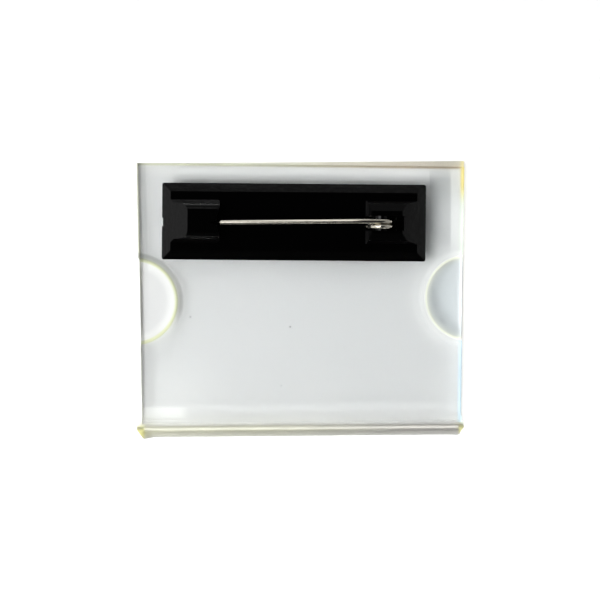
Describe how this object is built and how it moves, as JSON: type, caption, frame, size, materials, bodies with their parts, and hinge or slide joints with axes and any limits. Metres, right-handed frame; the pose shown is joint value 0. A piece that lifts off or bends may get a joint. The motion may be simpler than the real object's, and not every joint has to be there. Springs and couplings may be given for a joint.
{
  "type": "pocket name badge",
  "caption": "Clear folded acrylic pocket badge with finger notches and a glued bar fitting whose sprung steel pin swings open",
  "frame": {"origin": "under the middle of the holder, on the surface that its front face rests on", "axes": "+X to the coil end of the bar, +Y to the pocket's open top, +Z out of the badge's back"},
  "size_m": [0.0561, 0.0477, 0.0093],
  "materials": {
    "clear_acrylic": "polished clear acrylic sheet with a faint yellow-green tint at its cut edges",
    "black_plastic": "glossy black moulded plastic",
    "pin_steel": "bright nickel-plated steel wire"
  },
  "bodies": {
    "holder": {"clear_holder": "clear_acrylic", "pin_bar": "black_plastic", "pin_coil": "pin_steel"},
    "needle": {"pin_needle": "pin_steel"}
  },
  "joints": [
    {"name": "pin_open", "type": "hinge", "parent": "holder", "child": "needle", "pos_m": [0.01382, 0.01318, 0.0069], "axis": [0.0084, 1, 0], "range_deg": [0, 70]}
  ]
}
